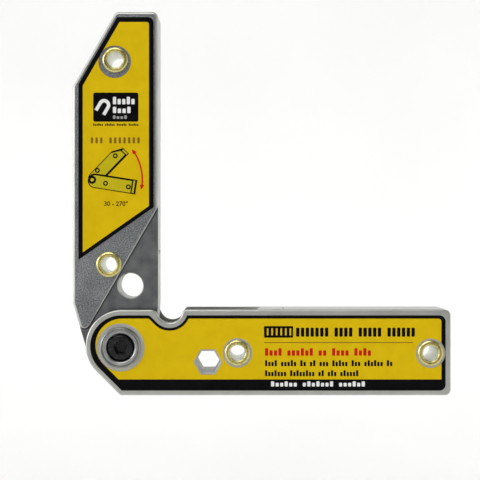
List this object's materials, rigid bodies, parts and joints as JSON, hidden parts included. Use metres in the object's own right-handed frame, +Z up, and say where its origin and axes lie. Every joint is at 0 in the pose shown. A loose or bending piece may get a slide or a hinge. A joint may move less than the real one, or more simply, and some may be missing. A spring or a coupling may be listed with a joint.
{
  "type": "welding magnet holder",
  "caption": "Adjustable angle welding magnet: two flat magnetic steel arms joined by a clamping pivot, with through holes and printed labels.",
  "frame": {"origin": "below the middle of the part, on the surface that the lower arm's outside edge stands on", "axes": "+X along the lower arm away from the pivot, +Z up along the upper arm, -Y out of the front face"},
  "size_m": [0.1896, 0.029, 0.1925],
  "materials": {
    "steel_plate": "bare ground steel plate with rounded edges",
    "milled_steel": "dark blasted steel plate, milled at the hinge",
    "cast_core": "cast aluminium, faces ground flush",
    "magnet": "sintered magnet block",
    "yellow_zinc": "yellow passivated zinc on rolled steel",
    "printed_label": "printed polyester sheet, yellow and black",
    "turned_steel": "turned steel",
    "black_oxide": "black oxide on alloy steel",
    "fibre_washer": "friction fibre",
    "bronze_bush": "sintered bronze"
  },
  "bodies": {
    "lower_arm": {"lower_front_plate": "steel_plate", "lower_rear_plate": "steel_plate", "lower_stop_block": "cast_core", "lower_magnet_frame": "cast_core", "lower_magnet_1": "magnet", "lower_magnet_2": "magnet", "lower_magnet_3": "magnet", "lower_inner_eyelet": "yellow_zinc", "lower_outer_eyelet": "yellow_zinc", "lower_front_label": "printed_label", "lower_rear_label": "printed_label", "pivot_boss": "turned_steel", "pivot_nut": "turned_steel", "friction_washer_front": "fibre_washer", "friction_washer_rear": "fibre_washer", "spring_washer": "turned_steel"},
    "upper_arm": {"upper_front_plate": "milled_steel", "upper_rear_plate": "milled_steel", "upper_hinge_block": "cast_core", "upper_magnet_frame": "cast_core", "upper_magnet_1": "magnet", "upper_magnet_2": "magnet", "upper_magnet_3": "magnet", "upper_inner_eyelet": "yellow_zinc", "upper_outer_eyelet": "yellow_zinc", "upper_front_label": "printed_label", "upper_rear_label": "printed_label", "pivot_bush": "bronze_bush"},
    "clamp_screw": {"clamp_screw": "black_oxide"}
  },
  "joints": [
    {"name": "arm_pivot", "type": "hinge", "parent": "lower_arm", "child": "upper_arm", "pos_m": [-0.07025, 0, 0.024], "axis": [0, -1, 0], "range_deg": [-60, 180]},
    {"name": "screw_turn", "type": "hinge", "parent": "lower_arm", "child": "clamp_screw", "pos_m": [-0.07025, 0, 0.024], "axis": [0, -1, 0], "range_deg": [0, 180]}
  ]
}
